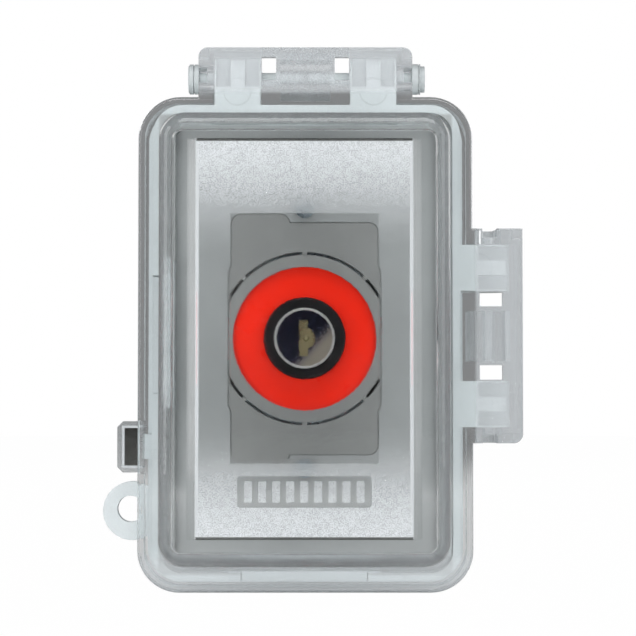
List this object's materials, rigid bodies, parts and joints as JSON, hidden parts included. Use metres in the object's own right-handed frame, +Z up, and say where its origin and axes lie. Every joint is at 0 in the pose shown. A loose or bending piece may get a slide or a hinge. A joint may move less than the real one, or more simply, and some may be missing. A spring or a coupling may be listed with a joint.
{
  "type": "manual call point",
  "caption": "Key-operated manual call point: red face and key switch under a clear, top-hinged weatherproof cover with snap tab and padlock eye, on a surface back box.",
  "frame": {"origin": "centre of the back box's wall face, on the axis of the key switch", "axes": "+Z up, +Y into the wall, +X to the right as seen from the front; the front faces -Y"},
  "size_m": [0.1336, 0.1195, 0.1726],
  "materials": {
    "clear_lid": "clear polycarbonate, pebbled on the raised panel",
    "clear_latch": "clear polycarbonate",
    "base_grey": "moulded light grey polycarbonate, satin",
    "port_grey": "moulded light grey plastic",
    "plate_grey": "fine satin medium grey plastic",
    "pin_grey": "moulded grey nylon",
    "red_plastic": "smooth signal red plastic",
    "bezel_black": "smooth black plastic",
    "lock_chrome": "bright chrome",
    "lock_face": "polished chrome with light handling scratches",
    "brass": "turned brass",
    "zinc_steel": "bright zinc plated steel",
    "spring_steel": "drawn spring wire",
    "box_alloy": "die cast alloy, powder coated grey",
    "plug_alloy": "die cast alloy, powder coated grey",
    "seal_foam": "closed cell foam",
    "lock_seal": "black rubber",
    "ground_green": "green dyed steel",
    "switch_black": "black moulded thermoset",
    "button_ivory": "ivory moulded plastic",
    "contact_copper": "copper alloy strip"
  },
  "bodies": {
    "station": {"back_box": "box_alloy", "hub_plug": "plug_alloy", "ground_screw": "ground_green", "box_gasket": "seal_foam", "base_frame": "base_grey", "cord_port_left": "port_grey", "cord_port_bottom": "port_grey", "adapter_plate": "plate_grey", "hinge_pin_left": "pin_grey", "hinge_pin_right": "pin_grey", "device_screws": "zinc_steel", "yoke_strap": "zinc_steel", "red_faceplate": "red_plastic", "bezel_seal": "lock_seal", "bezel_ring": "bezel_black", "lock_body": "lock_chrome", "switch_bracket": "zinc_steel", "lock_washer": "zinc_steel", "lock_nut": "brass", "switch_cases": "switch_black", "switch_covers": "switch_black", "switch_screws": "zinc_steel", "fixed_contacts": "contact_copper", "plunger_spring_upper": "spring_steel", "plunger_spring_lower": "spring_steel"},
    "lid": {"lid": "clear_lid"},
    "latch": {"lid_latch": "clear_latch"},
    "key_plug": {"lock_plug": "lock_face", "wafer_tumblers": "brass", "keyway_shutter": "brass", "cam": "zinc_steel", "cam_screw": "zinc_steel"},
    "upper_plunger": {"plunger_upper": "button_ivory", "contact_bridge_upper": "contact_copper"},
    "lower_plunger": {"plunger_lower": "button_ivory", "contact_bridge_lower": "contact_copper"}
  },
  "joints": [
    {"name": "lid_hinge", "type": "hinge", "parent": "station", "child": "lid", "pos_m": [0.0003, -0.059, 0.08325], "axis": [-1, 0, 0], "range_deg": [0, 110]},
    {"name": "latch_flex", "type": "hinge", "parent": "lid", "child": "latch", "pos_m": [-0.052, -0.0658, -0.0346], "axis": [0, 0, 1], "range_deg": [0, 8]},
    {"name": "key_turn", "type": "hinge", "parent": "station", "child": "key_plug", "pos_m": [0, -0.045, 0], "axis": [0, 1, 0], "range_deg": [0, 90]},
    {"name": "upper_plunger_slide", "type": "slide", "parent": "station", "child": "upper_plunger", "axis": [0, 0, 1], "range_m": [0, 0.002], "deforming": ["plunger_spring_upper"]},
    {"name": "lower_plunger_slide", "type": "slide", "parent": "station", "child": "lower_plunger", "axis": [0, 0, -1], "range_m": [0, 0.002], "deforming": ["plunger_spring_lower"]}
  ],
  "couplings": [
    {"joint": "upper_plunger_slide", "follows": "key_turn", "m_per_rad": 0.001273},
    {"joint": "lower_plunger_slide", "follows": "key_turn", "m_per_rad": 0.001273}
  ]
}
